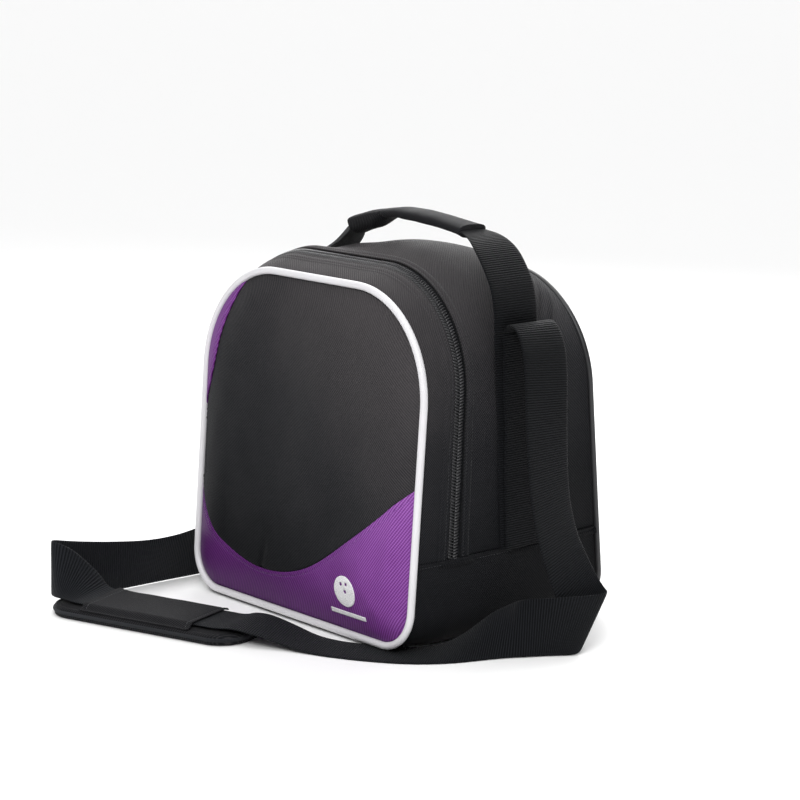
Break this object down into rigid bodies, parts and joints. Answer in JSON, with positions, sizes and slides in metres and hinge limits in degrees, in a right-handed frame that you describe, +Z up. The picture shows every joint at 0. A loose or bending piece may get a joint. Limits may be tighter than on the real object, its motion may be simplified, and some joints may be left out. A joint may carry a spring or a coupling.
{
  "type": "bowling ball bag",
  "caption": "Padded single-ball tote with a fold-down zippered front, a carry handle over the top and a free shoulder strap with a sliding pad.",
  "frame": {"origin": "floor point under the middle of the bag's shell", "axes": "+Z up, -Y towards the front panel, +X towards the bag's side that is on the right when the front is faced; the shoulder strap lies around the front on the floor"},
  "size_m": [0.4406, 0.3917, 0.364],
  "materials": {
    "black_fabric": "matte fine-weave polyester",
    "purple_fabric": "satin-weave polyester with a soft sheen",
    "white_piping": "soft glossy vinyl over a round cord",
    "black_piping": "soft glossy vinyl over a round cord",
    "black_webbing": "ribbed polypropylene webbing",
    "pad_fabric": "matte fine-weave polyester over foam",
    "binding_tape": "grosgrain tape",
    "zipper_tape": "woven tape",
    "zipper_coil": "moulded nylon coil",
    "slider_metal": "black enamel",
    "white_thread": "satin-stitch thread",
    "board_plastic": "stiff base board",
    "cup_foam": "moulded foam"
  },
  "bodies": {
    "bag": {"base_panel": "black_fabric", "base_board": "board_plastic", "ball_cup": "cup_foam", "rear_panel": "black_fabric", "rear_piping": "black_piping", "rear_gusset": "black_fabric", "zipper_tape_rear": "zipper_tape", "zipper_coil_rear": "zipper_coil", "front_panel_foot": "black_fabric", "lower_accent": "purple_fabric", "front_piping_foot": "white_piping", "embroidered_badge": "white_thread", "rear_binding": "binding_tape", "handle_leg_right": "black_webbing", "handle_leg_left": "black_webbing", "strap_leg_right": "black_webbing", "strap_leg_left": "black_webbing", "shoulder_strap": "black_webbing"},
    "front_flap": {"front_gusset": "black_fabric", "front_panel": "black_fabric", "accent_wings": "purple_fabric", "upper_accent": "purple_fabric", "front_piping": "white_piping", "zipper_tape_front": "zipper_tape", "zipper_coil_front": "zipper_coil", "front_binding": "binding_tape"},
    "handle": {"handle_webbing": "black_webbing", "handle_grip": "black_fabric"},
    "zipper_slider": {"zipper_slider": "slider_metal"},
    "zipper_pull": {"zipper_pull": "slider_metal"},
    "shoulder_pad": {"shoulder_pad": "pad_fabric", "pad_sleeve": "pad_fabric", "pad_binding": "binding_tape"}
  },
  "joints": [
    {"name": "flap_open", "type": "hinge", "parent": "bag", "child": "front_flap", "pos_m": [0, -0.122, 0.08175], "axis": [1, 0, 0], "range_deg": [0, 90]},
    {"name": "handle_swing", "type": "hinge", "parent": "bag", "child": "handle", "pos_m": [0, 0, 0.2703], "axis": [1, 0, 0], "range_deg": [-10, 15]},
    {"name": "zipper_slide", "type": "slide", "parent": "bag", "child": "zipper_slider", "axis": [0, 0.0508, 0.9987], "range_m": [0, 0.12]},
    {"name": "pull_flip", "type": "hinge", "parent": "zipper_slider", "child": "zipper_pull", "pos_m": [-0.15978, -0.06747, 0.0891], "axis": [0, 0.9987, -0.0508], "range_deg": [0, 170]},
    {"name": "pad_slide", "type": "slide", "parent": "bag", "child": "shoulder_pad", "axis": [0.9511, 0.309, 0], "range_m": [-0.004, 0.002]}
  ]
}
